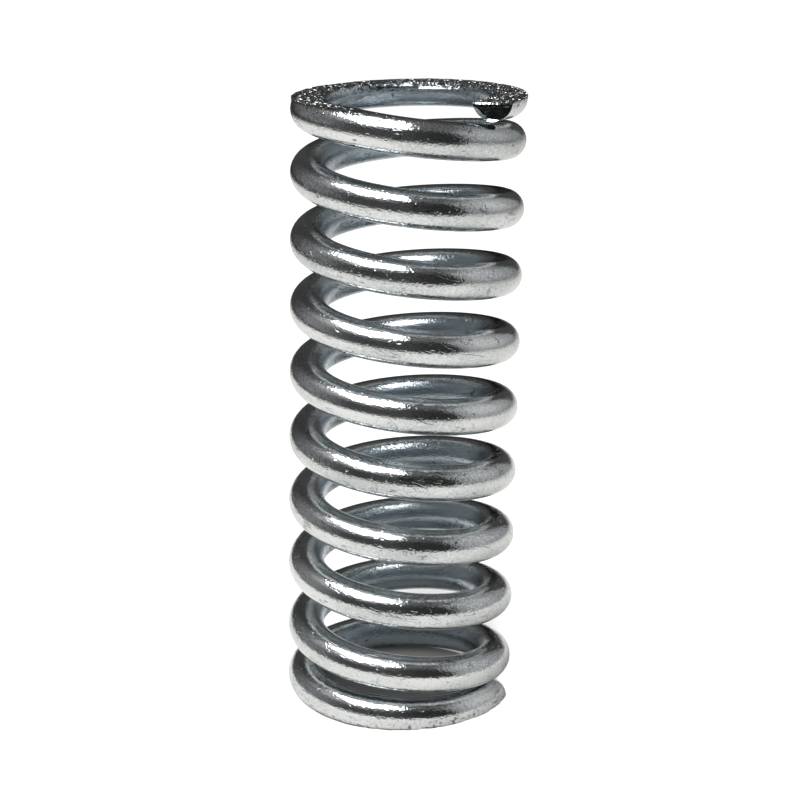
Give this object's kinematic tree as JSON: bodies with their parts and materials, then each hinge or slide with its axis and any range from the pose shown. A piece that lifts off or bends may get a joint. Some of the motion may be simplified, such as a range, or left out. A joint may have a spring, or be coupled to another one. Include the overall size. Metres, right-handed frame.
{
  "type": "compression spring",
  "caption": "Left-hand helical compression spring of round wire, with closed ends ground flat to stand square.",
  "frame": {"origin": "in the plane of the lower ground face, at the middle of the spring seen from above", "axes": "+Z square to the ground faces, from the lower one to the upper one; the coil's axis leans 1.8 degrees from +Z towards +X"},
  "size_m": [0.0204, 0.0188, 0.0508],
  "materials": {
    "zinc_plated_wire": "bright zinc plate with a clear bluish passivate over drawn spring steel, ground bare end faces"
  },
  "bodies": {
    "root": {"coil_spring": "zinc_plated_wire"}
  },
  "joints": []
}
